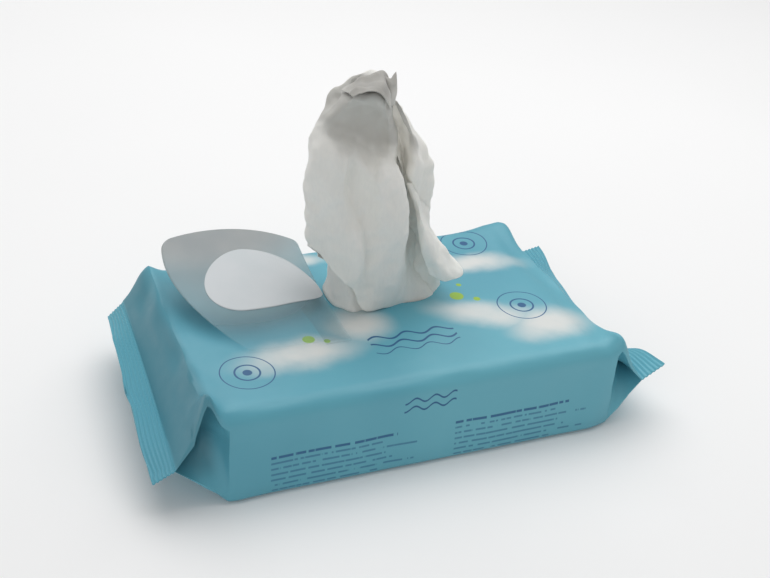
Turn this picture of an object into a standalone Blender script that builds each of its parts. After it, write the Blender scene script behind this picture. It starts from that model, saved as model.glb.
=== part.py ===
"""An opened wet wipes pack: a folded film pouch with crimped end fins, the stack of folded wipes
inside, one wipe pulled up through the teardrop opening, and the resealable label peeled back with
the die-cut patch of film on its underside.

Metres, +Z up. X runs along the pack, Y from its front to its back, and the origin is the middle of
the underside.
"""

import math

import bmesh
import bpy
from mathutils import Vector

# Pouch
BODY_LENGTH = 0.196
BODY_WIDTH = 0.130
BODY_HEIGHT = 0.047
PACK_LENGTH = 0.260  # over the end fins
FIN_WIDTH = 0.012
FIN_HEIGHT = 0.024  # of the fins above the ground
FIN_THICKNESS = 0.0012  # the sealed layers
FIN_EDGE_RADIUS = 0.0005
FIN_DROOP = {-1: -0.35, 1: 0.35}  # slope of the left and the right fin, outwards
FILM = 0.0003
EDGE_RADIUS = 0.008
GUSSET_DEPTH = 0.022  # how far each side is tucked in where the fin starts
SHOULDER_POWER = 1.35  # how round the pouch turns down into its end slopes
CRIMP_RIDGES = 6
CRIMP_DEPTH = 0.0002
FIN_BULGE = 0.0001  # of the fin's cut ends, half way through their thickness

# Opening, a teardrop with its point towards the left fin
OPENING_TIP_X = -0.022
OPENING_LENGTH = 0.060
OPENING_RADIUS = 0.0185
OPENING_Y = 0.0175
FLANK_POWER = 0.52  # the nearer to 0, the blunter the tip
TIP_LEAN = 0.004  # how far the tip lies in front of the middle line
TIP_REACH = 0.022  # how much of the length that lean takes

# Stack of folded wipes
STACK_LENGTH = 0.189
STACK_WIDTH = 0.124
STACK_TOP = 0.042
STACK_EDGE = 0.004
SEAL_STEP = (0.0006, 0.0003)  # width and depth of the step the lengthwise seal makes underneath
SEAL_Y = 0.006
GAP = 0.0003  # between pieces that touch

# Label, peeled back to the left
LABEL_THICKNESS = 0.0004
LABEL_FRONT_Y = -0.025
LABEL_BACK_Y = 0.048
BEND_X = -0.024  # the outermost line of the bend
STUCK_LENGTH = 0.012
PEELED_LENGTH = 0.0892  # at the back
PEELED_SLANT = 0.0395  # how much shorter it is at the front
SLANT_POWER = 1.4
BACK_CORNER = 0.0045
FRONT_CORNER = 0.0015
SIDE_DRIFT = 0.06  # how far the peeled part strays to the back, per metre of its length
TIGHTEST_BEND = 0.0006  # radius of the bend at the front
WIDEST_BEND = 0.0080  # and at the back
BEND_POWER = 2.6
STEEPEST_RISE = math.radians(26)  # of the peeled part at the back, above the pouch
RISE_POWER = 1.9
CURL = math.radians(620)  # of the peeled part at the back, per metre of its length
LEAST_CURL = 0.01
CURL_POWER = 0.65
PATCH_SETBACK = 0.0025  # of the opening's tip from the bend, on the label

# Wipe standing in the opening: height, then centre and half sizes of its outline in X and Y
WIPE_SECTIONS = (
    (0.0425, 0.014, 0.018, 0.016, 0.011),
    (0.0476, 0.014, 0.018, 0.017, 0.012),
    (0.0490, 0.010, 0.016, 0.024, 0.015),
    (0.0660, 0.008, 0.015, 0.029, 0.015),
    (0.0840, -0.003, 0.014, 0.032, 0.014),
    (0.1100, -0.005, 0.013, 0.032, 0.013),
    (0.1300, -0.009, 0.013, 0.028, 0.012),
    (0.1480, -0.014, 0.013, 0.021, 0.009),
    (0.1610, -0.009, 0.013, 0.012, 0.005),
    (0.1660, -0.008, 0.013, 0.007, 0.003),
)
WIPE_SIDES = 20


# ---------------------------------------------------------------- helpers


def clear_scene():
    for thing in list(bpy.data.objects):
        bpy.data.objects.remove(thing, do_unlink=True)


def collection(name):
    made = bpy.data.collections.new(name)
    bpy.context.scene.collection.children.link(made)
    return made


def material(name, colour, roughness):
    made = bpy.data.materials.new(name)
    made.use_nodes = True
    shader = made.node_tree.nodes["Principled BSDF"]
    shader.inputs["Base Color"].default_value = (*colour, 1.0)
    shader.inputs["Roughness"].default_value = roughness
    shader.inputs["Metallic"].default_value = 0.0
    return made


def new_object(name, mesh, group, finish=None):
    thing = bpy.data.objects.new(name, mesh)
    group.objects.link(thing)
    if finish:
        mesh.materials.append(finish)
        mesh.shade_smooth()
        mesh.set_sharp_from_angle(angle=math.radians(40))
    return thing


def mark_cutter(thing):
    thing.hide_render = True
    thing.display_type = "WIRE"
    return thing


def cut(thing, cutter):
    boolean = thing.modifiers.new(cutter.name, "BOOLEAN")
    boolean.operation = "DIFFERENCE"
    boolean.object = cutter


def loft(name, rings):
    """A closed solid through rings of equally many points, capped at both ends."""
    mesh = bpy.data.meshes.new(name)
    work = bmesh.new()
    rows = [[work.verts.new(point) for point in ring] for ring in rings]
    for low, high in zip(rows, rows[1:]):
        for i in range(len(low)):
            j = (i + 1) % len(low)
            work.faces.new((low[i], low[j], high[j], high[i]))
    work.faces.new(rows[0])
    work.faces.new(rows[-1])
    bmesh.ops.recalc_face_normals(work, faces=work.faces)
    work.to_mesh(mesh)
    work.free()
    return mesh


def patchwork(name, rows):
    """An open sheet through rows of points. Points that fall together are made one."""
    mesh = bpy.data.meshes.new(name)
    work = bmesh.new()
    grid = [[work.verts.new(point) for point in row] for row in rows]
    for low, high in zip(grid, grid[1:]):
        for i in range(len(low) - 1):
            work.faces.new((low[i], low[i + 1], high[i + 1], high[i]))
    bmesh.ops.remove_doubles(work, verts=work.verts, dist=0.00001)
    work.to_mesh(mesh)
    work.free()
    return mesh


def thicken(thing, thickness):
    solidify = thing.modifiers.new("thickness", "SOLIDIFY")
    solidify.thickness = thickness
    solidify.offset = 0.0
    solidify.use_even_offset = False


# ---------------------------------------------------------------- pouch


FIN_INNER_X = PACK_LENGTH / 2 - FIN_WIDTH
CAVITY_END_X = FIN_INNER_X - 0.002


def pouch_section(x, inset):
    """The pouch's outline at x, from its top round the back to its underside and round the front.
    Past the body the sides tuck in as a gusset while top and underside close on the fin."""
    out = abs(x)
    side = 1 if x > 0 else -1
    closing = (out - BODY_LENGTH / 2) / (FIN_INNER_X - BODY_LENGTH / 2)
    closing = min(max(closing, 0.0), 1.0)
    shut = closing**SHOULDER_POWER
    in_fin = max(out - FIN_INNER_X, 0.0)
    middle = FIN_HEIGHT + FIN_DROOP[side] * in_fin
    top = middle + FIN_THICKNESS / 2 * shut + (BODY_HEIGHT - FIN_HEIGHT) * (1 - shut)
    bottom = (middle - FIN_THICKNESS / 2) * shut if not in_fin else middle - FIN_THICKNESS / 2
    radius = EDGE_RADIUS + (FIN_EDGE_RADIUS - EDGE_RADIUS) * closing
    tuck = -FIN_BULGE if in_fin else GUSSET_DEPTH * closing
    if in_fin:
        ridge = CRIMP_DEPTH * math.cos(2 * math.pi * CRIMP_RIDGES * in_fin / FIN_WIDTH)
        top += ridge
        bottom += ridge
    slope = math.hypot(tuck, top - middle - radius) / (top - middle - radius)
    fold_y = BODY_WIDTH / 2 - tuck - inset * slope
    radius = radius - 2 * inset
    top -= inset
    bottom += inset
    half = BODY_WIDTH / 2 - inset
    corner = [i * math.pi / 8 for i in range(5)]
    back = [(half / 2, top)]
    back += [(half - radius + radius * math.sin(a), top - radius + radius * math.cos(a)) for a in corner]
    back += [(fold_y, middle)]
    back += [
        (half - radius + radius * math.cos(a), bottom + radius - radius * math.sin(a)) for a in corner
    ]
    back += [(half / 2, bottom)]
    front = [(-y, z) for y, z in reversed(back)]
    return [Vector((x, y, z)) for y, z in [(0.0, top), *back, (0.0, bottom), *front]]


def stations(end, steps):
    """Places along the half length, closer together where the ends close."""
    start = BODY_LENGTH / 2
    return [0.0, start * 0.6, start] + [start + (end - start) * (i + 1) / steps for i in range(steps)]


def both_ways(places):
    return sorted({-p for p in places} | set(places))


def teardrop(count):
    """Outline of the opening, as (distance from the tip, offset to the side)."""
    middle = OPENING_LENGTH - OPENING_RADIUS
    flank = []
    for i in range(count + 1):
        share = (i / count) ** 1.6  # closer together at the tip, where the patch is bent
        flank.append((middle * share, OPENING_RADIUS * math.sin(math.pi / 2 * share) ** FLANK_POWER))
    arc = []
    for i in range(1, count):
        angle = math.pi / 2 * i / count
        arc.append((middle + OPENING_RADIUS * math.sin(angle), OPENING_RADIUS * math.cos(angle)))
    return flank + arc + [(OPENING_LENGTH, 0.0)]


def opening_middle(along):
    """Y of the opening's middle line, this far from its tip."""
    return OPENING_Y - TIP_LEAN * max(0.0, 1 - along / TIP_REACH) ** 2


def make_pouch(parts, cutters):
    crimps = CRIMP_RIDGES * 2
    fin = [FIN_INNER_X + FIN_WIDTH * (i + 1) / crimps for i in range(crimps)]
    outer = loft("film_pouch", [pouch_section(x, 0.0) for x in both_ways(stations(FIN_INNER_X, 7) + fin)])
    pouch = new_object("film_pouch", outer, parts, material("film", (0.15, 0.42, 0.52), 0.35))

    inner = loft("cavity", [pouch_section(x, FILM) for x in both_ways(stations(CAVITY_END_X, 6))])
    cut(pouch, mark_cutter(new_object("cavity", inner, cutters)))

    side = teardrop(10)
    outline = side + [(along, -across) for along, across in reversed(side[1:-1])]
    levels = (BODY_HEIGHT - 0.003, BODY_HEIGHT + 0.003)
    hole = loft(
        "opening",
        [[Vector((OPENING_TIP_X + a, opening_middle(a) + b, z)) for a, b in outline] for z in levels],
    )
    cut(pouch, mark_cutter(new_object("opening", hole, cutters)))

    # The lengthwise seal is folded flat against the underside; its free edge shows as a step.
    work = bmesh.new()
    bmesh.ops.create_cube(work, size=1.0)
    bmesh.ops.scale(work, vec=(BODY_LENGTH, *SEAL_STEP), verts=work.verts)
    edge = bpy.data.meshes.new("seal_edge")
    work.to_mesh(edge)
    work.free()
    seal_edge = mark_cutter(new_object("seal_edge", edge, cutters))
    seal_edge.location = (0.0, SEAL_Y, 0.0)
    cut(pouch, seal_edge)


# ---------------------------------------------------------------- wipes


def make_stack(parts):
    low = FILM + GAP
    work = bmesh.new()
    bmesh.ops.create_cube(work, size=1.0)
    bmesh.ops.scale(work, vec=(STACK_LENGTH, STACK_WIDTH, STACK_TOP - low), verts=work.verts)
    mesh = bpy.data.meshes.new("wipe_stack")
    work.to_mesh(mesh)
    work.free()
    stack = new_object("wipe_stack", mesh, parts, material("wipe_cloth", (0.72, 0.72, 0.69), 0.9))
    stack.location = (0.0, 0.0, (STACK_TOP + low) / 2)
    bevel = stack.modifiers.new("soft_edges", "BEVEL")
    bevel.width = STACK_EDGE
    bevel.segments = 2


def make_pulled_wipe(parts):
    rings = []
    for height, x, y, half_x, half_y in WIPE_SECTIONS:
        ring = []
        for i in range(WIPE_SIDES):
            angle = 2 * math.pi * i / WIPE_SIDES
            ring.append(Vector((x + half_x * math.cos(angle), y + half_y * math.sin(angle), height)))
        rings.append(ring)
    new_object("pulled_wipe", loft("pulled_wipe", rings), parts, bpy.data.materials["wipe_cloth"])


# ---------------------------------------------------------------- label


def label_bend(across):
    """Radius of the bend, angle it stops short of a half turn, and curl per metre after it."""
    share = (across - LABEL_FRONT_Y) / (LABEL_BACK_Y - LABEL_FRONT_Y)
    share = min(max(share, 0.0), 1.0)
    radius = TIGHTEST_BEND + (WIDEST_BEND - TIGHTEST_BEND) * share**BEND_POWER
    rise = STEEPEST_RISE * (1 - (1 - share) ** RISE_POWER)
    return radius, rise, CURL * share**CURL_POWER + LEAST_CURL


def label_point(along, across, lift):
    """A point of the label. along is measured from where the label leaves the pouch, and is
    negative on the stuck part; across is the Y it has when closed; lift is the distance from the
    middle of the film towards its sticky side, which faces up once it is peeled."""
    radius, rise, curl = label_bend(across)
    level = BODY_HEIGHT + GAP + LABEL_THICKNESS / 2
    turn = (math.pi - rise) * radius
    leave_x = BEND_X - radius
    if along <= 0.0:
        x, z, heading = leave_x + along, level, 0.0
    else:
        heading = min(along, turn) / radius
        x = leave_x + radius * math.sin(heading)
        z = level + radius * (1 - math.cos(heading))
    if along > turn:
        start = heading
        heading += curl * (along - turn)
        x += (math.sin(heading) - math.sin(start)) / curl
        z -= (math.cos(heading) - math.cos(start)) / curl
    y = across + SIDE_DRIFT * max(along, 0.0)
    return Vector((x + lift * math.sin(heading), y, z - lift * math.cos(heading)))


def peeled_end(across):
    """How far the peeled part reaches at across: a slanting end with rounded corners."""
    share = (LABEL_BACK_Y - across) / (LABEL_BACK_Y - LABEL_FRONT_Y)
    end = PEELED_LENGTH - PEELED_SLANT * max(share, 0.0) ** SLANT_POWER
    for corner, radius in ((LABEL_BACK_Y, BACK_CORNER), (LABEL_FRONT_Y, FRONT_CORNER)):
        into = min(max(1 - abs(across - corner) / radius, 0.0), 1.0)
        end -= radius * (1 - math.sqrt(1 - into**2))
    return end


def make_label(parts):
    columns, turns, runs = 20, 8, 18
    middle = (LABEL_FRONT_Y + LABEL_BACK_Y) / 2
    rows = []
    for j in range(columns + 1):
        step = 2 * j / columns - 1
        step = math.copysign(1 - (1 - abs(step)) ** 1.5, step)  # closer together at the corners
        across = middle + (LABEL_BACK_Y - middle) * step
        radius, rise, _ = label_bend(across)
        bend = (math.pi - rise) * radius
        places = [-STUCK_LENGTH, -STUCK_LENGTH / 2]
        places += [bend * i / turns for i in range(turns)]
        places += [bend + (peeled_end(across) - bend) * i / runs for i in range(runs + 1)]
        rows.append([label_point(place, across, 0.0) for place in places])
    label = new_object(
        "resealable_label",
        patchwork("resealable_label", rows),
        parts,
        material("frosted_film", (0.62, 0.66, 0.67), 0.45),
    )
    thicken(label, LABEL_THICKNESS)


def make_patch(parts):
    lift = LABEL_THICKNESS / 2 + 2 * GAP + FILM / 2
    tip = OPENING_TIP_X - (BEND_X - PATCH_SETBACK)
    steps = [i / 5 - 1 for i in range(11)]
    rows = []
    for along, half in teardrop(14):
        rows.append([label_point(tip + along, opening_middle(along) + half * step, lift) for step in steps])
    patch = new_object(
        "opening_patch",
        patchwork("opening_patch", rows),
        parts,
        material("film_back", (0.80, 0.83, 0.84), 0.4),
    )
    thicken(patch, FILM)


def main():
    clear_scene()
    parts = collection("wet_wipes_pack")
    cutters = collection("cutters")
    make_pouch(parts, cutters)
    make_stack(parts)
    make_pulled_wipe(parts)
    make_label(parts)
    make_patch(parts)


main()
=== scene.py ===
"""Looks of the opened wet wipes pack: printed film pouch, folded wipes, one wipe pulled up, frosted
label peeled back with the die-cut patch. Metres, in the frame of the CAD model."""

import math

import bmesh
import bpy
import numpy as np
from mathutils import Matrix, Vector, noise


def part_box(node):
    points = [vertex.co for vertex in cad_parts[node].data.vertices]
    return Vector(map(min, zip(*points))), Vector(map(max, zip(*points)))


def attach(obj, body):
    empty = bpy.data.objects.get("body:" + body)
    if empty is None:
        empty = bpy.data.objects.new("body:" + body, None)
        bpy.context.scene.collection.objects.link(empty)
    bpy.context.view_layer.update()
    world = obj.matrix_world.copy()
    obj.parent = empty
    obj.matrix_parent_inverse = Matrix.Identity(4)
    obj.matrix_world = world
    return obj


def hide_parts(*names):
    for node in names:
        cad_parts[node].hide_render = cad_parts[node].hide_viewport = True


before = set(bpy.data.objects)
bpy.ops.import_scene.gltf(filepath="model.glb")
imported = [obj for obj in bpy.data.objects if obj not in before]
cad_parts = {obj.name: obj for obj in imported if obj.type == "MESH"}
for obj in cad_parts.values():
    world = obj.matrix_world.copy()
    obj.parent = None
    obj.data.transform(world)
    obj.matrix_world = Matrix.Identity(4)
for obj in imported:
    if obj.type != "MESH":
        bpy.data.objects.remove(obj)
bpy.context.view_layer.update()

MM = 0.001

# The pouch. Its ends are -1 at the left and 1 at the right, and slope down from BODY_END.
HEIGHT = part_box("film_pouch")[1][2]
HALF_WIDTH = 0.065
BODY_END = {-1: 0.096, 1: 0.1005}
TOP_RADIUS = 0.0078
LOW_RADIUS = 0.0030
LEAST_RADIUS = 0.0004
FIN_THICKNESS = 0.0009
CRIMPS = 6
CRIMP_HEIGHT = 0.00028
FILM = 0.00015

# The die-cut opening is a teardrop with its tip to the left. OPENING_Y is the middle of its round
# part, and its tip leans OPENING_SKEW to the front over the first OPENING_SKEW_REACH.
OPENING_TIP_X = -0.022
OPENING_LENGTH = 0.060
OPENING_RADIUS = 0.0185
OPENING_Y = 0.0175
OPENING_SKEW = 0.004
OPENING_SKEW_REACH = 0.022
FLANK_POWER = 0.52
OUTLINE_STEPS = 16


# ---------------------------------------------------------------- small tools


def smoothstep(low, high, value):
    t = np.clip((value - low) / (high - low), 0.0, 1.0)
    return t * t * (3 - 2 * t)


def bump(value, centre, width):
    return np.exp(-(((value - centre) / width) ** 2))


def through(keys, values, at):
    """A smooth curve through values at keys, read at every number in at."""
    keys, values, at = (np.asarray(a, float) for a in (keys, values, at))
    slopes = np.gradient(values, keys)
    i = np.clip(np.searchsorted(keys, at) - 1, 0, len(keys) - 2)
    span = keys[i + 1] - keys[i]
    t = np.clip((at - keys[i]) / span, 0.0, 1.0)
    return (
        (2 * t**3 - 3 * t**2 + 1) * values[i]
        + (t**3 - 2 * t**2 + t) * span * slopes[i]
        + (3 * t**2 - 2 * t**3) * values[i + 1]
        + (t**3 - t**2) * span * slopes[i + 1]
    )


def crumple(points, size, seed):
    """Smooth noise, about -1 to 1, at each point."""
    shift = Vector((seed * 7.3, seed * 3.1, seed * 5.7))
    return np.array([noise.noise(Vector(p) / size + shift) for p in points])


def grid_mesh(name, grid, closed=False, caps=False):
    """A mesh through grid[row][column][xyz]. closed joins each row's end to its start."""
    grid = np.asarray(grid, float)
    rows, columns = grid.shape[:2]
    wide = columns if closed else columns - 1
    index = np.arange(rows * columns).reshape(rows, columns)
    faces = []
    for i in range(rows - 1):
        for j in range(wide):
            k = (j + 1) % columns
            faces.append((index[i, j], index[i, k], index[i + 1, k], index[i + 1, j]))
    faces = [tuple(int(v) for v in face) for face in faces]
    if caps:
        faces.append(tuple(int(v) for v in index[0][::-1]))
        faces.append(tuple(int(v) for v in index[-1]))
    mesh = bpy.data.meshes.new(name)
    mesh.from_pydata([tuple(p) for p in grid.reshape(-1, 3)], [], faces)
    mesh.validate()
    work = bmesh.new()
    work.from_mesh(mesh)
    bmesh.ops.remove_doubles(work, verts=work.verts, dist=1e-6)
    bmesh.ops.recalc_face_normals(work, faces=work.faces)
    work.to_mesh(mesh)
    work.free()
    return mesh


def place(name, mesh, finish, angle=40):
    thing = bpy.data.objects.new(name, mesh)
    bpy.context.scene.collection.objects.link(thing)
    mesh.materials.clear()
    mesh.materials.append(finish)
    mesh.shade_smooth()
    if angle:
        mesh.set_sharp_from_angle(angle=math.radians(angle))
    return thing


def evaluated(thing):
    """The object's mesh with its modifiers applied, as a new mesh."""
    graph = bpy.context.evaluated_depsgraph_get()
    graph.update()
    return bpy.data.meshes.new_from_object(thing.evaluated_get(graph), depsgraph=graph)


def apply_modifiers(thing):
    mesh = evaluated(thing)
    thing.modifiers.clear()
    thing.data = mesh


def solidify(thing, thickness, offset=0.0):
    shell = thing.modifiers.new("thickness", "SOLIDIFY")
    shell.thickness = thickness
    shell.offset = offset
    shell.use_even_offset = False


# ---------------------------------------------------------------- materials


class Paint:
    """A material whose node tree is written as plain sums."""

    def __init__(self, name):
        self.material = bpy.data.materials.new(name)
        self.material.use_nodes = True
        self.tree = self.material.node_tree
        self.shader = self.tree.nodes["Principled BSDF"]
        coordinates = self.tree.nodes.new("ShaderNodeTexCoord")
        self.place = coordinates.outputs["Object"]
        split = self.tree.nodes.new("ShaderNodeSeparateXYZ")
        self.tree.links.new(self.place, split.inputs[0])
        self.x, self.y, self.z = split.outputs

    def put(self, socket, value):
        if isinstance(value, bpy.types.NodeSocket):
            self.tree.links.new(value, socket)
        else:
            socket.default_value = value

    def maths(self, operation, *values):
        node = self.tree.nodes.new("ShaderNodeMath")
        node.operation = operation
        for socket, value in zip(node.inputs, values):
            self.put(socket, value)
        return node.outputs[0]

    def add(self, *values):
        total = values[0]
        for value in values[1:]:
            total = self.maths("ADD", total, value)
        return total

    def times(self, *values):
        total = values[0]
        for value in values[1:]:
            total = self.maths("MULTIPLY", total, value)
        return total

    def most(self, *values):
        """The highest of the values."""
        total = values[0]
        for value in values[1:]:
            total = self.maths("MAXIMUM", total, value)
        return total

    def ramp(self, value, low, high, first=0.0, last=1.0):
        node = self.tree.nodes.new("ShaderNodeMapRange")
        node.interpolation_type = "SMOOTHSTEP"
        for socket, number in zip(node.inputs, (value, low, high, first, last)):
            self.put(socket, number)
        return node.outputs[0]

    def noise(self, scale, detail=3.0, rough=0.5, stretch=None):
        node = self.tree.nodes.new("ShaderNodeTexNoise")
        node.inputs["Scale"].default_value = scale
        node.inputs["Detail"].default_value = detail
        node.inputs["Roughness"].default_value = rough
        source = self.place
        if stretch:
            mapping = self.tree.nodes.new("ShaderNodeMapping")
            mapping.inputs["Scale"].default_value = stretch
            self.tree.links.new(self.place, mapping.inputs[0])
            source = mapping.outputs[0]
        self.tree.links.new(source, node.inputs["Vector"])
        return node.outputs[0]

    def mix(self, share, first, second):
        node = self.tree.nodes.new("ShaderNodeMix")
        node.data_type = "RGBA"
        self.put(node.inputs["Factor"], share)
        for socket, colour in ((node.inputs[6], first), (node.inputs[7], second)):
            self.put(socket, (*colour, 1.0) if isinstance(colour, tuple) else colour)
        return node.outputs[2]

    def bumps(self, *layers):
        """layers are (height socket, distance in metres, strength)."""
        normal = None
        for height, distance, strength in layers:
            node = self.tree.nodes.new("ShaderNodeBump")
            node.inputs["Distance"].default_value = distance
            node.inputs["Strength"].default_value = strength
            self.tree.links.new(height, node.inputs["Height"])
            if normal:
                self.tree.links.new(normal, node.inputs["Normal"])
            normal = node.outputs[0]
        self.tree.links.new(normal, self.shader.inputs["Normal"])

    def set(self, **values):
        for name, value in values.items():
            socket = self.shader.inputs[name.replace("_", " ")]
            self.put(socket, (*value, 1.0) if isinstance(value, tuple) else value)


TEAL = (0.130, 0.425, 0.520)
TEAL_DEEP = (0.092, 0.345, 0.445)
TEAL_PAINTED_SHADE = (0.050, 0.185, 0.240)
PALE = (0.70, 0.71, 0.69)
INK = (0.012, 0.10, 0.24)
LEAF = (0.30, 0.50, 0.05)
CLOTH = (0.92, 0.90, 0.84)
CLOTH_LIGHT = (0.95, 0.935, 0.88)
CLOTH_STREAK = (0.80, 0.80, 0.77)
# painted shade for the front of the wipe's crown and its top folds
CLOTH_PAINTED_SHADE = (0.50, 0.49, 0.455)
CLOTH_PAINTED_SHADE_DEEP = (0.33, 0.32, 0.30)
FROST = (0.39, 0.42, 0.43)
FROST_LIGHT = (0.44, 0.46, 0.46)
# painted teal light from the film below, seen through the label's low part
FROST_PAINTED_TEAL_BOUNCE = (0.46, 0.66, 0.72)
FILM_BACK = (0.56, 0.60, 0.62)
FILM_BACK_LIGHT = (0.59, 0.62, 0.64)


def film_paint():
    """Teal film with soft pale drifts, green drops, plain rings, and rows of bars on the front."""
    p = Paint("printed_film")
    wander = p.noise(28.0, 2.0)
    wander_more = p.noise(60.0, 3.0)
    x = p.add(p.x, p.times(p.add(wander, -0.5), 0.012))
    y = p.add(p.y, p.times(p.add(wander_more, -0.5), 0.010))

    def drift(x0, y0, reach, breadth, turn):
        """A soft streak: 1 at its middle (x0, y0), 0 past its reach and breadth."""
        c, s = math.cos(turn), math.sin(turn)
        dx, dy = p.add(x, -x0), p.add(y, -y0)
        along = p.times(p.add(p.times(dx, c), p.times(dy, s)), 1 / reach)
        across = p.times(p.add(p.times(dx, -s), p.times(dy, c)), 1 / breadth)
        away = p.maths("SQRT", p.add(p.times(along, along), p.times(across, across)))
        return p.ramp(away, 1.05, 0.15)

    def between(value, start, end, fade):
        """1 from start to end, and 0 outside them, with soft edges as wide as fade."""
        return p.times(p.ramp(value, start, start + fade), p.ramp(value, end, end - fade))

    def away_from(x0, y0):
        dx, dy = p.add(p.x, -x0), p.add(p.y, -y0)
        return p.maths("SQRT", p.add(p.times(dx, dx), p.times(dy, dy)))

    def stroke(off, thick):
        """A line of this thickness, where off is the distance from its middle."""
        return p.ramp(off, thick / 2 + 0.00012, thick / 2 - 0.00008)

    def ring(away, radius, thick):
        return stroke(p.maths("ABSOLUTE", p.add(away, -radius)), thick)

    def dot(away, radius):
        return p.ramp(away, radius + 0.0002, radius - 0.0002)

    def off_wave(level, middle, length, swing, shift=0.0):
        """How far level lies from a wavy line that runs along x about middle."""
        turns = p.times(p.add(p.x, shift), 2 * math.pi / length)
        return p.maths("ABSOLUTE", p.add(level, -middle, p.times(p.maths("SINE", turns), -swing)))

    on_top = p.ramp(p.z, 0.030, 0.042)
    pale = p.most(
        drift(-0.050, -0.028, 0.040, 0.017, 0.10),
        drift(-0.016, -0.012, 0.020, 0.020, -0.5),
        drift(0.050, -0.020, 0.038, 0.015, -0.40),
        drift(0.078, -0.036, 0.030, 0.018, 0.12),
        drift(0.064, 0.028, 0.040, 0.012, -0.10),
        drift(-0.022, 0.052, 0.020, 0.008, 0.1),
    )
    pale = p.times(pale, on_top, p.ramp(p.noise(45.0, 3.0), 0.25, 0.6, 0.78, 0.97))
    tone = p.ramp(p.noise(9.0, 2.0), 0.3, 0.7)
    colour = p.mix(tone, TEAL_DEEP, TEAL)
    colour = p.mix(pale, colour, PALE)

    # The left end's slope, between the top's crease and the crimped fin, gets painted shade: a darker
    # teal for the shade it lies in. The fin's root lies root_middle from the pack's middle, and nearer to
    # it towards the back.
    root_middle = 0.1155
    root_skew = 0.0615
    past_root = p.add(p.times(p.x, -1.0), p.times(p.y, root_skew), -root_middle)
    slope = p.times(p.ramp(p.x, -0.0985, -0.1045), p.ramp(past_root, 0.0006, -0.0006))
    # painted shade on the left end's slope, fading out low down
    colour = p.mix(p.times(slope, p.ramp(p.z, 0.012, 0.020), 0.60), colour, TEAL_PAINTED_SHADE)

    # three plain marks on the top: two rings round a dot
    marks = []
    for x0, y0 in ((0.072, -0.017), (0.071, 0.048), (-0.079, -0.036)):
        away = away_from(x0, y0)
        marks += [ring(away, 0.0125, 0.00055), ring(away, 0.0058, 0.0009), dot(away, 0.0022)]

    # three plain waves in front of the opening: place and thickness
    wave_reach = between(p.x, -0.0165, 0.0285, 0.0005)
    for k, (y0, thick) in enumerate(((-0.026, 0.0013), (-0.032, 0.0013), (-0.0375, 0.0007))):
        off = off_wave(p.y, y0, 0.016, 0.0018, 0.02 * k)
        marks.append(p.times(stroke(off, thick), wave_reach))
    ink = p.times(p.most(*marks), on_top)

    # Two blocks of thin broken bars low on the front. Rows count down from 0 at the top, and each
    # is broken at its own places.
    rows = 7
    top_row_height = 0.0205
    pitch = 0.0029
    front = p.ramp(p.y, -0.0560, -0.0600)
    row = p.maths("ROUND", p.times(p.add(p.z, -top_row_height), 1 / pitch))
    off_row = p.maths("ABSOLUTE", p.add(p.z, -top_row_height, p.times(row, -pitch)))
    spread = p.tree.nodes.new("ShaderNodeCombineXYZ")
    p.put(spread.inputs[0], p.times(p.x, 330.0))
    p.put(spread.inputs[1], p.times(row, 5.3))
    breaks = p.tree.nodes.new("ShaderNodeTexNoise")
    breaks.inputs["Scale"].default_value = 1.0
    breaks.inputs["Detail"].default_value = 1.0
    p.put(breaks.inputs["Vector"], spread.outputs[0])
    unbroken = p.ramp(breaks.outputs[0], 0.40, 0.44)
    # the top row is thicker and stronger
    top_row = p.ramp(row, -0.6, -0.4)
    bars = p.ramp(p.add(off_row, p.times(top_row, -0.0002)), 0.00065, 0.00035)
    bars = p.times(bars, unbroken, between(row, 0.4 - rows, 0.6, 0.2))
    row_length = p.add(0.062, p.times(p.maths("SINE", p.times(row, 2.3)), 0.010))
    before_end = p.add(p.x, p.times(row_length, -1.0))
    block_fade = 0.0003
    blocks = []
    for x0 in (-0.077, 0.0145):
        started = p.ramp(p.x, x0, x0 + block_fade)
        blocks.append(p.times(started, p.ramp(before_end, x0, x0 - block_fade)))
    bars = p.times(bars, p.most(*blocks), p.add(0.62, p.times(top_row, 0.3)))

    # two small waves above the bars
    small_reach = between(p.x, -0.0130, 0.0140, 0.0004)
    for level in (0.0375, 0.0330):
        off = off_wave(p.z, level, 0.010, 0.0013)
        bars = p.most(bars, p.times(p.ramp(off, 0.0006, 0.0004), small_reach))
    ink = p.most(ink, p.times(bars, front))
    colour = p.mix(ink, colour, INK)

    # green drops: place and radius
    drops = (
        (0.043, -0.001, 0.0036), (0.052, -0.006, 0.0018), (-0.043, -0.018, 0.0030),
        (-0.035, -0.0215, 0.0016), (0.049, 0.009, 0.0014),
    )
    green = p.most(*(dot(away_from(x0, y0), radius) for x0, y0, radius in drops))
    colour = p.mix(p.times(green, on_top), colour, LEAF)

    haze = p.noise(160.0, 4.0)
    p.set(Base_Color=colour, Roughness=p.ramp(haze, 0.2, 0.8, 0.38, 0.48), Specular_IOR_Level=0.5)
    p.bumps((p.noise(70.0, 3.0), 0.0006, 0.25), (p.noise(900.0, 2.0), 0.00004, 0.25))
    return p.material


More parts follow.
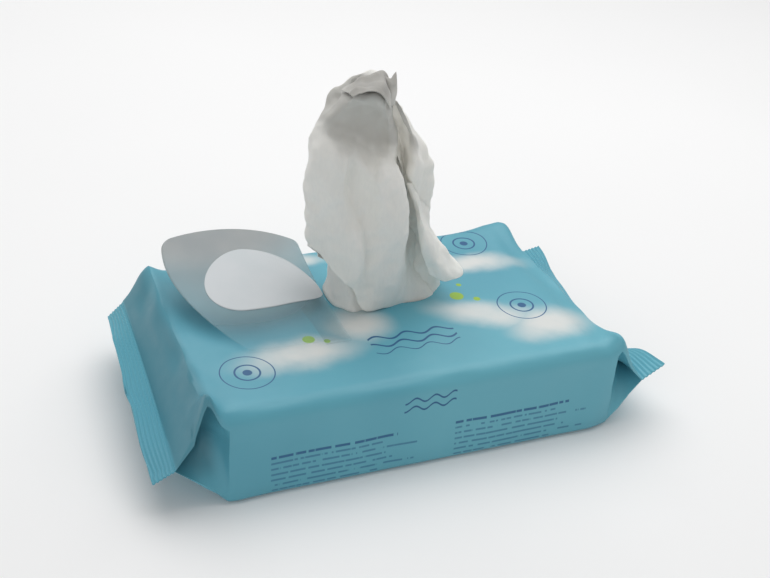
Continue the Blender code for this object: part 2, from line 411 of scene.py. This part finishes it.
def cloth_paint():
    """Warm white cloth with fine fibres, with painted shade in front at the crown."""
    p = Paint("wipe_cloth")
    fibres = p.noise(2600.0, 5.0, 0.7)
    streaks = p.noise(900.0, 4.0, 0.65, stretch=(1.0, 1.0, 0.25))
    tone = p.ramp(p.noise(40.0, 3.0), 0.25, 0.75)
    colour = p.mix(tone, CLOTH, CLOTH_LIGHT)
    colour = p.mix(p.ramp(streaks, 0.3, 0.7, 0.0, 0.25), colour, CLOTH_STREAK)
    # painted shade: the front of the crown is darker and its topmost folds darker still; the crown's
    # shade starts higher up at the left
    left_rise = p.times(p.maths("MAXIMUM", p.add(p.times(p.x, -1.0), -0.010), 0.0), 0.6)
    above = p.add(p.z, p.times(left_rise, -1.0), p.times(p.noise(60.0, 2.0), 0.006))
    front_part = p.ramp(p.add(p.y, p.times(p.x, 0.5)), 0.0105, 0.0075)
    crown = p.times(p.ramp(above, 0.1300, 0.1390), front_part, 0.9)
    top_folds_painted_shade = p.times(p.ramp(p.z, 0.1600, 0.1660), front_part, 0.8)
    colour = p.mix(crown, colour, CLOTH_PAINTED_SHADE)
    colour = p.mix(top_folds_painted_shade, colour, CLOTH_PAINTED_SHADE_DEEP)
    p.set(Base_Color=colour, Roughness=0.85, Sheen_Weight=0.15, Specular_IOR_Level=0.25)
    p.set(Subsurface_Weight=0.25, Subsurface_Scale=0.004)
    p.shader.inputs["Subsurface Radius"].default_value = (1.0, 0.9, 0.8)
    p.bumps((fibres, 0.00015, 0.5), (streaks, 0.0003, 0.35), (p.noise(160.0, 3.0), 0.0008, 0.25))
    return p.material


def frosted_paint():
    """Frosted film: clear where it lies on the pack, a painted bluish tint above that for the teal film's
    light showing through, grey and dense higher up.
    """
    p = Paint("frosted_film")
    tone = p.ramp(p.noise(50.0, 3.0), 0.3, 0.7)
    grey = p.mix(tone, FROST, FROST_LIGHT)
    # painted light: low down the label takes the teal of the film below, kept light to lift the shade
    # under the peel
    colour = p.mix(p.ramp(p.z, HEIGHT + 0.003, HEIGHT + 0.022), FROST_PAINTED_TEAL_BOUNCE, grey)
    density = p.ramp(p.z, HEIGHT + 0.0008, HEIGHT + 0.0140, 0.08, 0.86)
    p.set(Base_Color=colour, Roughness=0.55, IOR=1.2, Alpha=density)
    p.set(Transmission_Weight=0.4, Specular_IOR_Level=0.3)
    p.bumps((p.noise(1800.0, 3.0), 0.00003, 0.4), (p.noise(45.0, 2.0), 0.0006, 0.15))
    return p.material


def film_back_paint():
    """The unprinted inner face of the pouch film."""
    p = Paint("film_back")
    tone = p.ramp(p.noise(60.0, 3.0), 0.3, 0.7)
    p.set(Base_Color=p.mix(tone, FILM_BACK, FILM_BACK_LIGHT), Roughness=0.5)
    p.bumps((p.noise(90.0, 2.0), 0.0004, 0.12), (p.noise(1200.0, 2.0), 0.00003, 0.2))
    return p.material


# ---------------------------------------------------------------- pouch


# The two crimped ends, in millimetres: place across the pack, the fin's root (distance from the
# pack's middle, height) and its outer edge (distance, height). Neither end is straight.
LEFT_END = (
    (-65, 120, 22.5, 130, 17), (-40, 118, 24, 129.5, 21.5), (0, 115, 26, 127, 25),
    (40, 113, 28, 123, 25.5), (65, 112, 28.5, 119.5, 22),
)
RIGHT_END = (
    (-65, 118, 24, 130, 30.5), (-48, 118, 25, 129.5, 28), (-30, 118, 25, 128, 20),
    (10, 118, 25, 127.5, 18.5), (40, 118, 25, 128.5, 22), (65, 118, 25, 130, 28),
)

# The share of each end's slope over which the top stays level before it falls away, at the pack's
# middle, and how much that changes per metre towards the back.
CREASE = {-1: 0.31, 1: 0.10}
CREASE_SKEW = {-1: -1.7, 1: 0.0}
FALL_POWER = 1.05
# How deep each end's gussets are tucked in, how fast, and how much higher than midway their fold
# starts.
TUCK = {-1: 0.026, 1: 0.024}
TUCK_POWER = 0.62
FOLD_RISE = 0.010
# Points round each corner, and across half the top and half a gusset.
CORNER_POINTS = 9
HALF_TOP_POINTS = 26
GUSSET_POINTS = 12


def end_line(side, y):
    """The fin's root distance and height and its edge's distance and height at places y."""
    table = np.array(RIGHT_END if side > 0 else LEFT_END)
    root_x, root_z, tip_x, tip_z = (
        through(table[:, 0], table[:, k], np.asarray(y) / MM) * MM for k in (1, 2, 3, 4)
    )
    # the fin's edge is a little uneven
    tip_x = tip_x - 0.0005 * (1 + np.sin(y / 0.0062 + side)) * (np.abs(y) < 0.06)
    tip_z = tip_z + 0.0007 * np.sin(y / 0.0085 + 2 * side) + 0.0004 * np.sin(y / 0.0039)
    return root_x, root_z, tip_x, tip_z


def pouch_ring(closing, in_fin, side):
    """The film's outline at one station: closing 0 to 1 along the end's slope, in_fin 0 to 1 on the
    fin. It runs from the top's middle over the back, the underside and the front."""
    top_radius = TOP_RADIUS * (1 - closing) + LEAST_RADIUS
    low_radius = LOW_RADIUS * (1 - closing) + LEAST_RADIUS
    arc = np.linspace(0, math.pi / 2, CORNER_POINTS)
    share = np.linspace(0, 1, HALF_TOP_POINTS + 1)[:-1]
    steps = np.linspace(0, 1, GUSSET_POINTS + 1)[1:]
    halves = []
    for sign in (1, -1):
        outline = []
        for radius, up in ((top_radius, 1), (low_radius, -1)):
            flat = HALF_WIDTH - radius
            across = np.concatenate([share * flat, flat + radius * np.sin(arc)])
            drop = np.concatenate([np.zeros(len(share)), radius * (np.cos(arc) - 1)])
            root_x, root_z, tip_x, tip_z = end_line(side, sign * across)
            on_slope = BODY_END[side] + closing * (root_x - BODY_END[side])
            x = side * (on_slope + in_fin * (tip_x - root_x))
            half = up * FIN_THICKNESS / 2
            level = HEIGHT if up > 0 else 0.0
            fall = closing
            if up > 0:
                crease = CREASE[side] + CREASE_SKEW[side] * sign * across
                fall = np.maximum(0.0, (closing - crease) / (1 - crease)) ** FALL_POWER
            z = level + (root_z + half - level) * fall + in_fin * (tip_z - root_z)
            if in_fin > 0:
                z = z + CRIMP_HEIGHT * math.cos(2 * math.pi * CRIMPS * in_fin)
            outline.append(np.stack([x, sign * across, z + up * drop], axis=1))
        upper, lower = outline
        tuck = 0.0 if in_fin > 0 else TUCK[side] * closing**TUCK_POWER
        fold = (upper[-1] + lower[-1]) / 2
        fold[1] = sign * (HALF_WIDTH - tuck)
        fold[2] += FOLD_RISE * (1 - closing)
        inward = upper[-1] + (fold - upper[-1]) * steps[:, None]
        inward[:, 1] = upper[-1][1] + (fold[1] - upper[-1][1]) * np.sqrt(steps)
        outward = fold + (lower[-1] - fold) * steps[:, None]
        halves.append(np.concatenate([upper, inward, outward[:-1], lower[::-1]]))
    return np.concatenate([halves[0], halves[1][::-1][1:-1]])


def pouch_rings():
    body = pouch_ring(0.0, 0.0, 1)
    rings = []
    for x in np.linspace(-BODY_END[-1], BODY_END[1], 101):
        ring = body.copy()
        ring[:, 0] = x
        rings.append(ring)
    slope = np.linspace(0, 1, 27)[1:]
    fin = np.linspace(0, 1, 8 * CRIMPS + 1)[1:]
    for side in (-1, 1):
        end = [pouch_ring(closing, 0.0, side) for closing in slope]
        end += [pouch_ring(1.0, in_fin, side) for in_fin in fin]
        rings = end[::-1] + rings if side < 0 else rings + end
    return rings


def teardrop(count):
    """Places along the opening and its half width there, closest together near the tip."""
    middle = OPENING_LENGTH - OPENING_RADIUS
    side = []
    for i in range(count + 1):
        share = (i / count) ** 1.6
        side.append((middle * share, OPENING_RADIUS * math.sin(math.pi / 2 * share) ** FLANK_POWER))
    for i in range(1, count):
        angle = math.pi / 2 * i / count
        side.append((middle + OPENING_RADIUS * math.sin(angle), OPENING_RADIUS * math.cos(angle)))
    return side + [(OPENING_LENGTH, 0.0)]


def opening_middle(along):
    """How far the outline's middle line lies from OPENING_Y: its tip leans to the front."""
    return -OPENING_SKEW * max(0.0, 1 - along / OPENING_SKEW_REACH) ** 2


def opening_outline(count):
    side = teardrop(count)
    loop = side + [(a, -b) for a, b in reversed(side[1:-1])]
    return [(OPENING_TIP_X + a, OPENING_Y + opening_middle(a) + b) for a, b in loop]


# Raised corners of the top: place, height, how far they reach towards the middle and towards the
# end, and the share of the half width where they start.
EARS = (
    (-0.1060, -0.065, 0.0125, 0.0050, 0.0055, 0.70),
    (0.1040, -0.065, 0.0062, 0.0045, 0.0055, 0.72),
    (-0.1010, 0.065, 0.0045, 0.0080, 0.0070, 0.40),
    (0.0980, 0.065, 0.0040, 0.0160, 0.0060, 0.40),
)


def shape_film(mesh):
    """Puckers, raised corners and soft folds of the film, as moves of the plain pouch's points."""
    count = len(mesh.vertices)
    spots = np.empty(count * 3)
    mesh.vertices.foreach_get("co", spots)
    spots = spots.reshape(-1, 3)
    normals = np.empty(count * 3)
    mesh.vertices.foreach_get("normal", normals)
    normals = normals.reshape(-1, 3)
    x, y, z = spots.T
    on_top = smoothstep(0.030, 0.045, z) * (normals[:, 2] > 0.2)
    off_floor = smoothstep(0.0, 0.006, z)
    high = smoothstep(0.026, 0.044, z)
    lift = np.zeros(count)
    for x0, y0, size, inner, outer, start in EARS:
        width = np.where(np.abs(x) < abs(x0), inner, outer)
        reach = smoothstep(start, 1.0, np.sign(y0) * y / abs(y0)) * (np.sign(x0) * x > 0)
        lift += size * bump(np.abs(x), abs(x0), width) * reach * high
    # the film stands up a little round the opening
    rim = np.array(opening_outline(OUTLINE_STEPS))
    distance = np.min(np.hypot(x[:, None] - rim[:, 0], y[:, None] - rim[:, 1]), axis=1)
    lift += 0.0007 * np.exp(-((distance / 0.006) ** 2)) * on_top
    # pleats run down the slopes of both ends
    slope = smoothstep(0.099, 0.104, np.abs(x)) * (1 - smoothstep(0.104, 0.110, np.abs(x)))
    wide_pleats = 0.0009 * np.sin(y / 0.0095 + 0.6 * np.sign(x))
    pleats = (wide_pleats + 0.0005 * np.sin(y / 0.0047 + 1.3)) * slope
    pleats *= 1 - smoothstep(0.048, 0.060, np.abs(y))
    soft = 0.00040 * crumple(spots, 0.026, 1) + 0.00016 * crumple(spots, 0.009, 2)
    fine = 0.00035 * crumple(spots * np.array([1.0, 0.35, 1.0]), 0.006, 3)
    near_end = smoothstep(0.070, 0.098, np.abs(x)) * (1 - smoothstep(0.106, 0.112, np.abs(x)))
    wall = (np.abs(normals[:, 1]) > 0.6) * 0.0010
    wall = wall * crumple(spots * np.array([1.0, 0.2, 0.6]), 0.03, 4)
    in_end = np.abs(x) > 0.1115
    spots += normals * ((soft + fine * near_end + pleats + wall) * off_floor * ~in_end)[:, None]
    spots[:, 2] += lift * ~in_end
    # the top sags between the right end's corners
    sag = smoothstep(0.086, 0.100, x) * (1 - smoothstep(0.034, 0.062, np.abs(y))) * high
    spots[:, 2] -= 0.0030 * sag
    # the lower part of the front and back bulges, and the front's left end a little more
    belly = bump(z, 0.005, 0.016) * (1 - smoothstep(0.090, 0.104, np.abs(x)))
    belly = belly * smoothstep(0.050, 0.064, np.abs(y))
    left_front = bump(x, -0.099, 0.014) * (y < 0) * bump(z, 0.004, 0.012)
    left_front = left_front * smoothstep(0.046, 0.062, np.abs(y))
    spots[:, 1] += np.sign(y) * (0.0024 * belly + 0.0012 * left_front)
    spots[:, 2] = np.maximum(spots[:, 2], 0.0)
    mesh.vertices.foreach_set("co", spots.reshape(-1))
    mesh.update()


def make_pouch(finish):
    mesh = grid_mesh("film_outer", pouch_rings(), closed=True, caps=True)
    shape_film(mesh)
    pouch = place("pouch_film", mesh, finish)
    solidify(pouch, FILM, -1.0)
    apply_modifiers(pouch)
    levels = (HEIGHT - 0.004, HEIGHT + 0.006)
    outline = opening_outline(OUTLINE_STEPS)
    hole = grid_mesh("hole", [[(a, b, level) for a, b in outline] for level in levels], True, True)
    cutter = bpy.data.objects.new("hole", hole)
    bpy.context.scene.collection.objects.link(cutter)
    boolean = pouch.modifiers.new("hole", "BOOLEAN")
    boolean.operation = "DIFFERENCE"
    boolean.object = cutter
    apply_modifiers(pouch)
    bpy.data.objects.remove(cutter)
    pouch.data.set_sharp_from_angle(angle=math.radians(30))
    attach(pouch, "root")
    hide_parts("film_pouch")
    return pouch


# ---------------------------------------------------------------- stack


def make_stack(finish):
    """The folded wipes inside: a soft-edged block with a slightly wavy top."""
    most_edge = 0.006
    low, high = (np.array(corner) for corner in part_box("wipe_stack"))
    work = bmesh.new()
    bmesh.ops.create_cube(work, size=1.0)
    size = high - low
    bmesh.ops.scale(work, vec=tuple(size), verts=work.verts)
    bmesh.ops.translate(work, vec=tuple((low + high) / 2), verts=work.verts)
    bmesh.ops.bevel(
        work, geom=list(work.edges), offset=0.004, segments=4, profile=0.6, affect="EDGES"
    )
    bmesh.ops.triangulate(work, faces=work.faces)
    for _ in range(4):
        long_edges = [edge for edge in work.edges if edge.calc_length() > most_edge]
        bmesh.ops.subdivide_edges(work, edges=long_edges, cuts=1)
        bmesh.ops.triangulate(work, faces=work.faces)
    middle = (low + high) / 2
    for vertex in work.verts:
        top = max(0.0, (vertex.co.z - middle[2]) / (size[2] / 2)) ** 4
        wave = noise.noise(vertex.co / 0.02) * 0.0006 + noise.noise(vertex.co / 0.006) * 0.0003
        vertex.co.z += (wave - 0.0006) * top
    mesh = bpy.data.meshes.new("stack")
    work.to_mesh(mesh)
    work.free()
    stack = place("wipes_inside", mesh, finish)
    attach(stack, "root")
    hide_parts("wipe_stack")
    return stack


# ---------------------------------------------------------------- pulled wipe

# The wipe is built of a few panels of cloth, which overlap. A panel is a net of lines of points
# down or up the cloth, all in millimetres. The body's lines rise from its foot to its crown.
BODY_LINES = (
    # left silhouette, then over the front to the right
    ((-34, 12, 80), (-35, 12, 85), (-36, 12, 92), (-36, 12, 98), (-37, 12, 110), (-37, 12, 121),
     (-35, 12, 143), (-27, 12, 152), (-23, 12, 155), (-22, 12, 157)),
    ((-31, 4, 78), (-31, 4, 82), (-32, 3, 92), (-33, 2, 103), (-34, 1, 115), (-35, 0, 134),
     (-33, 4, 145), (-27, 1, 155), (-25, -4, 162), (-21, 5, 160)),
    ((-21, -3, 67), (-22, -3, 75), (-23, -4, 89), (-24, -3, 102), (-25, -5, 116), (-25, -6, 133),
     (-23, 6, 141), (-22, 0, 155), (-24, -9, 165), (-18, 4, 161)),
    # the crease between the left panel and the ridge
    ((-16, -6, 61), (-16, -8, 71), (-16, -8, 88), (-17, -3, 102), (-20, 1, 115), (-18, 0, 129),
     (-15, 8, 137), (-16, 1, 154), (-21, -10, 165.5), (-13, 4, 162)),
    ((-9, -4, 49), (-9, -4, 62), (-11, -4, 79), (-12, -4, 98), (-12, -4, 115), (-11, -3, 124),
     (-9, 8, 132), (-10, 2, 151), (-16, -9, 165), (-9, 5, 162)),
    # the rounded ridge
    ((2, -3, 48), (0, -6, 59), (-3, -8, 80), (-5, -9, 99), (-7, -9, 117), (-6, -7, 125),
     (-3, 7, 132), (-6, 1, 149), (-12, -8, 162), (-6, 6, 161)),
    ((13, 0, 46), (11, -2, 55), (9, -5, 75), (8, -6, 94), (5, -6, 113), (3, -4, 122),
     (1, 4, 131), (-3, 1, 146), (-7, -3, 157), (-4, 7, 161)),
    # the groove beside it
    ((21, 0, 45), (20, 2, 52), (17, 8, 66), (14, 10, 87), (10, 9, 107), (7, 7, 118),
     (4, 5, 130), (0, 5, 144), (-2, 6, 153), (-2, 9, 160)),
    ((35, 3, 45), (32, 5, 48), (28, 12, 63), (24, 15, 84), (18, 16, 104), (13, 16, 114),
     (9, 14, 126), (5, 13, 140), (2, 11, 151), (0, 10, 162)),
    # the back, from right to left
    ((33, 24, 45), (31, 25, 50), (27, 26, 64), (23, 27, 84), (17, 27, 104), (12, 26, 116),
     (8, 24, 128), (4, 22, 142), (1, 19, 153), (0, 15, 164)),
    ((18, 31, 45), (17, 31, 52), (15, 29, 66), (12, 27, 86), (9, 26, 106), (5, 26, 118),
     (1, 25, 130), (-3, 24, 144), (-5, 21, 155), (-5, 17, 164)),
    ((0, 31, 46), (-2, 32, 54), (-5, 32, 70), (-7, 32, 90), (-9, 31, 110), (-11, 29, 122),
     (-13, 28, 136), (-14, 25, 150), (-13, 22, 158), (-9, 16, 165)),
    ((-16, 24, 60), (-20, 25, 68), (-24, 25, 82), (-26, 24, 98), (-28, 24, 114), (-28, 23, 126),
     (-29, 22, 142), (-26, 21, 153), (-21, 19, 158), (-16, 14, 163)),
)
# Inner part of the cloth, seen under the raised left edge: height, left, right, front and back.
FOOT = (
    (43, -14, 12, 5, 29), (47.5, -21.8, 6, -2, 30), (51, -21.4, 5, -2, 29), (56, -20.8, 4, -2, 28),
    (63, -21, 3, -1, 27), (72, -22, 2, 2, 25), (86, -18, 2, 5, 24),
)
# The panel over the groove, in front of the right side.
RIGHT_PANEL = (
    ((19, 4, 47), (17, 12, 67), (14, 12, 86), (10, 9, 114), (5, 7, 126), (1, 7, 143), (-1, 6, 153)),
    ((25, 3, 48), (21, 10, 67), (18, 11, 86), (12, 8, 114), (11, 12, 124), (6, 10, 140), (0, 7, 154)),
    ((31, 4, 47), (27, 8, 67), (23, 8, 86), (12, 0, 116), (12, 0, 127), (9, 2, 139), (2, 5, 153)),
    ((37, 8, 45), (32, 10, 65), (26, 10, 85), (19, 3, 115), (18, 3, 125), (12, 5, 139), (5, 6, 152)),
    ((40, 14, 45), (38, 14, 65), (29, 14, 82), (28, 13, 109), (27, 13, 119), (16, 12, 136), (7, 9, 150)),
    ((34, 24, 46), (32, 25, 65), (27, 26, 82), (24, 25, 109), (22, 24, 119), (13, 20, 136), (5, 15, 150)),
)
# A fold that hangs from the right panel, down to the right.
HANGING_FOLD = (
    ((10, 2, 114), (14, 0, 101), (17, -1, 90), (20, -2, 78), (22, -3, 70), (25, -3, 63)),
    ((11, 1, 114), (16, -2, 101), (19, -4, 90), (23, -5, 78), (28, -6, 70), (33, -6, 60)),
    ((14, 5, 112), (23, 6, 97), (27, 7, 84), (33, 4, 74), (38, 1, 66), (44, -3, 61)),
    ((16, 12, 110), (26, 14, 96), (29, 15, 83), (34, 12, 76), (38, 9, 69), (42, 5, 65)),
)
# The turned-over rim above the crown's hollow, and the small pointed fold at its right.
RIM = (
    ((-22, 12, 158), (-24, 4, 161), (-26, -5, 165)),
    ((-20, 8, 163), (-25, -5, 166), (-28, -12, 166.5)),
    ((-17, 7, 166), (-22, -7, 168), (-24, -13.5, 167.5)),
    ((-11, 7, 167), (-17, -8, 168), (-18, -13, 167)),
    ((-6, 7, 168), (-11, -7, 168), (-13, -12, 163)),
    ((-4, 8, 164), (-7, -4, 163), (-8, -9, 157)),
)
BEAK = (
    ((-6, 5, 168), (-6, -1, 164), (-5, -3, 157)),
    ((-4, 2, 167), (-5, -2, 163), (-5, -3, 156)),
    ((0, 7, 168), (-1, 4, 162), (-2, 2, 155)),
)


def net(lines, rows, columns, around=False):
    """A smooth sheet through lines of points. around joins the last line to the first."""
    control = np.array(lines, float) * MM
    wide, high = control.shape[:2]
    down = np.linspace(0, high - 1, rows + 1)
    smooth = np.empty((wide, rows + 1, 3))
    for i in range(wide):
        for k in range(3):
            smooth[i, :, k] = through(range(high), control[i, :, k], down)
    keys = np.arange(wide, dtype=float)
    over = np.linspace(0, wide - 1, columns + 1)
    if around:
        smooth = np.concatenate([smooth[-3:], smooth, smooth[:3]])
        keys = np.arange(-3.0, wide + 3)
        over = np.arange(columns) * wide / columns
    grid = np.empty((rows + 1, len(over), 3))
    for i in range(rows + 1):
        for k in range(3):
            grid[i, :, k] = through(keys, smooth[:, i, k], over)
    return grid


def wipe_body():
    """The standing part, gathered shut at its crown."""
    grid = net(BODY_LINES, 108, 220, around=True)
    crown = grid[-1].mean(axis=0) - (0, 0, 0.004)
    closing = [grid[-1] + (crown - grid[-1]) * share for share in (0.25, 0.5, 0.75, 0.95)]
    return np.concatenate([grid, closing])


def wipe_foot():
    """A rounded tube of cloth with small pleats, from inside the opening up into the body."""
    columns, rows = 100, 42
    theta = np.linspace(0, 2 * math.pi, columns, endpoint=False)
    levels, left, right, near, far = (np.array(column, float) for column in zip(*FOOT))
    grid = []
    for height in np.linspace(levels[0], levels[-1], rows + 1):
        low, high = (float(through(levels, edge, [height])[0]) for edge in (left, right))
        front, back = (float(through(levels, edge, [height])[0]) for edge in (near, far))
        x = (low + high) / 2 - (high - low) / 2 * np.cos(theta)
        along = -np.sin(theta)
        y = (front + back) / 2 + (back - front) / 2 * np.sign(along) * np.abs(along) ** 0.85
        y += 0.8 * np.sin(theta * 8 + height / 9) * np.sign(along)
        grid.append(np.stack([x, y, np.full(columns, height)], axis=1))
    return np.array(grid) * MM


def make_wipe(finish):
    body = grid_mesh("body", wipe_body(), closed=True)
    foot = grid_mesh("foot", wipe_foot(), closed=True)
    panels = [
        grid_mesh("panel", net(lines, rows, columns))
        for lines, rows, columns in (
            (RIGHT_PANEL, 90, 60),
            (HANGING_FOLD, 64, 42),
            (RIM, 26, 60),
            (BEAK, 24, 20),
        )
    ]
    work = bmesh.new()
    for part in (body, foot, *panels):
        work.from_mesh(part)
    mesh = bpy.data.meshes.new("pulled_wipe_cloth")
    work.to_mesh(mesh)
    work.free()
    count = len(mesh.vertices)
    spots = np.empty(count * 3)
    normals = np.empty(count * 3)
    mesh.vertices.foreach_get("co", spots)
    mesh.vertices.foreach_get("normal", normals)
    spots, normals = spots.reshape(-1, 3), normals.reshape(-1, 3)
    drawn = spots * np.array([1.0, 1.0, 0.35])
    move = 0.0013 * crumple(spots, 0.020, 5) + 0.0009 * crumple(drawn, 0.007, 6)
    move += 0.0004 * crumple(spots, 0.004, 7)
    # thin raised creases, mostly running down and aslant
    aslant = spots[:, 0] + 0.35 * spots[:, 2]
    slanted = np.stack([aslant, spots[:, 1], 0.45 * spots[:, 2]], axis=1)
    move += 0.0015 * (0.5 - 2.2 * np.abs(crumple(slanted, 0.017, 8)))
    move += 0.0007 * (0.5 - 2.2 * np.abs(crumple(spots, 0.009, 9)))
    move *= smoothstep(0.046, 0.056, spots[:, 2])
    spots += normals * move[:, None]
    # small scallops down the left edge
    scallop = np.abs(np.sin(math.pi * (spots[:, 2] - 0.082) / 0.011)) - 0.6
    scallop *= 0.7 + 0.5 * np.sin(spots[:, 2] / 0.006)
    scallop *= smoothstep(0.078, 0.084, spots[:, 2]) * (1 - smoothstep(0.112, 0.122, spots[:, 2]))
    spots[:, 0] -= 0.0010 * scallop * smoothstep(0.029, 0.036, -spots[:, 0])
    mesh.vertices.foreach_set("co", spots.reshape(-1))
    mesh.update()
    wipe = place("wipe_pulled_up", mesh, finish, 0)
    solidify(wipe, 0.0004)
    apply_modifiers(wipe)
    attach(wipe, "root")
    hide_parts("pulled_wipe")
    return wipe


# ---------------------------------------------------------------- label

# The label bends back over itself near BEND_X: tightly at its front edge, loosely at its back.
LABEL_FRONT_Y = -0.025
LABEL_BACK_Y = 0.048
LABEL_GAP = 0.0005
BEND_X = -0.024
BEND_RADIUS_FRONT = 0.0006
BEND_RADIUS_MORE = 0.0074
RISE_BACK = math.radians(26)
CURL_BACK = math.radians(620)
# How far the peeled part moves to the back for each metre along it.
PEEL_DRIFT = 0.06
PEELED_LENGTH = 0.0892
PEELED_SLANT = 0.0395
BACK_CORNER = 0.0045
FRONT_CORNER = 0.0015
# The bend's radius where the patch's tip is measured along the label, and the patch's distance
# off the label.
PATCH_BEND_RADIUS = 0.0025
PATCH_LIFT = 0.0002


def label_bend(across):
    """The bend's radius, how steeply the peeled part leaves it, and its curl in radians a metre."""
    share = min(max((across - LABEL_FRONT_Y) / (LABEL_BACK_Y - LABEL_FRONT_Y), 0.0), 1.0)
    radius = BEND_RADIUS_FRONT + BEND_RADIUS_MORE * share**2.6
    rise = RISE_BACK * (1 - (1 - share) ** 1.9)
    curl = CURL_BACK * share**0.65 + 0.01
    return radius, rise, curl


def label_point(along, across, lift):
    """A point of the label, along it from the start of its bend, and lift off its face."""
    radius, rise, curl = label_bend(across)
    level = HEIGHT + LABEL_GAP
    turn = (math.pi - rise) * radius
    leave_x = BEND_X - radius
    if along <= 0.0:
        x, z, heading = leave_x + along, level, 0.0
    else:
        heading = min(along, turn) / radius
        x = leave_x + radius * math.sin(heading)
        z = level + radius * (1 - math.cos(heading))
    if along > turn:
        start = heading
        heading += curl * (along - turn)
        x += (math.sin(heading) - math.sin(start)) / curl
        z -= (math.cos(heading) - math.cos(start)) / curl
    y = across + PEEL_DRIFT * max(along, 0.0)
    return (x + lift * math.sin(heading), y, z - lift * math.cos(heading))


def peeled_end(across):
    """How far the label reaches past its fold: a slanting end with rounded corners."""
    share = (LABEL_BACK_Y - across) / (LABEL_BACK_Y - LABEL_FRONT_Y)
    end = PEELED_LENGTH - PEELED_SLANT * max(share, 0.0) ** 1.4
    for corner, radius in ((LABEL_BACK_Y, BACK_CORNER), (LABEL_FRONT_Y, FRONT_CORNER)):
        into = min(max(1 - abs(across - corner) / radius, 0.0), 1.0)
        end -= radius * (1 - math.sqrt(1 - into**2))
    return end


def make_label(finish):
    bend_steps = 20
    peeled_steps = 60
    middle = (LABEL_FRONT_Y + LABEL_BACK_Y) / 2
    half = (LABEL_BACK_Y - LABEL_FRONT_Y) / 2
    rows = []
    for step in np.linspace(-1, 1, 81):
        # rows lie closer together at both edges
        across = middle + half * math.copysign(1 - (1 - abs(step)) ** 1.5, step)
        radius, rise, _ = label_bend(across)
        bend = (math.pi - rise) * radius
        peeled = peeled_end(across) - bend
        spots = [-0.012, -0.008, -0.004]
        spots += [bend * i / bend_steps for i in range(bend_steps)]
        spots += [bend + peeled * i / peeled_steps for i in range(peeled_steps + 1)]
        rows.append([label_point(along, across, 0.0) for along in spots])
    label = place("label_film", grid_mesh("label", rows), finish)
    solidify(label, 0.0002)
    apply_modifiers(label)
    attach(label, "root")
    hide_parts("resealable_label")
    return label


def make_patch(finish):
    tip = OPENING_TIP_X - (BEND_X - PATCH_BEND_RADIUS)
    rows = []
    for along, half in teardrop(36):
        middle = OPENING_Y + opening_middle(along)
        steps = np.linspace(-1, 1, 41)
        rows.append([label_point(tip + along, middle + half * step, PATCH_LIFT) for step in steps])
    patch = place("patch_film", grid_mesh("patch", rows), finish)
    solidify(patch, FILM)
    apply_modifiers(patch)
    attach(patch, "root")
    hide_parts("opening_patch")
    return patch


# ---------------------------------------------------------------- stage


def make_stage():
    floor_paint = Paint("floor")
    shade = floor_paint.ramp(floor_paint.noise(3.0, 2.0), 0.2, 0.8)
    white = floor_paint.mix(shade, (0.90, 0.90, 0.90), (0.92, 0.92, 0.92))
    floor_paint.set(Base_Color=white, Roughness=0.9)
    bpy.ops.mesh.primitive_plane_add(size=8.0, location=(0, 0, -0.0002))
    floor = bpy.context.active_object
    floor.name = "floor"
    floor.data.materials.append(floor_paint.material)

    world = bpy.data.worlds.new("studio")
    bpy.context.scene.world = world
    world.use_nodes = True
    background = world.node_tree.nodes["Background"]
    background.inputs["Color"].default_value = (1.0, 1.0, 1.0, 1.0)
    background.inputs["Strength"].default_value = 0.42

    def softbox(name, spot, target, size, power):
        light = bpy.data.lights.new(name, "AREA")
        light.shape = "RECTANGLE"
        light.size, light.size_y = size
        light.energy = power
        lamp = bpy.data.objects.new(name, light)
        bpy.context.scene.collection.objects.link(lamp)
        lamp.location = spot
        lamp.rotation_euler = (Vector(target) - Vector(spot)).to_track_quat("-Z", "Y").to_euler()

    softbox("overhead", (0.20, 0.35, 1.0), (0, 0, 0.05), (1.5, 1.2), 10.0)
    softbox("front_fill", (-0.8, -0.8, 0.6), (0, 0, 0.10), (0.8, 0.6), 1.8)


def make_camera():
    """Stands to the front left of the pack, a little above, and is tilted a few degrees."""
    azimuth, elevation, roll = math.radians(-26.1), math.radians(30.9), math.radians(5.8)
    target = Vector((0.0275, 0.0500, 0.0237))
    distance = 0.7062
    back = Vector((
        math.sin(azimuth) * math.cos(elevation), -math.cos(azimuth) * math.cos(elevation),
        math.sin(elevation),
    ))
    right = (-back).cross(Vector((0, 0, 1))).normalized()
    up = right.cross(-back)
    side = math.cos(roll) * right + math.sin(roll) * up
    over = -math.sin(roll) * right + math.cos(roll) * up
    data = bpy.data.cameras.new("camera")
    data.sensor_width = 36.0
    data.lens = 61.1
    data.clip_start = 0.01
    camera = bpy.data.objects.new("camera", data)
    bpy.context.scene.collection.objects.link(camera)
    turn = Matrix((side, over, back)).transposed().to_4x4()
    camera.matrix_world = Matrix.Translation(target + back * distance) @ turn
    bpy.context.scene.camera = camera


film = film_paint()
cloth = cloth_paint()
make_pouch(film)
make_stack(cloth)
make_wipe(cloth)
make_label(frosted_paint())
make_patch(film_back_paint())
make_stage()
make_camera()
bpy.context.scene.view_settings.view_transform = "Standard"
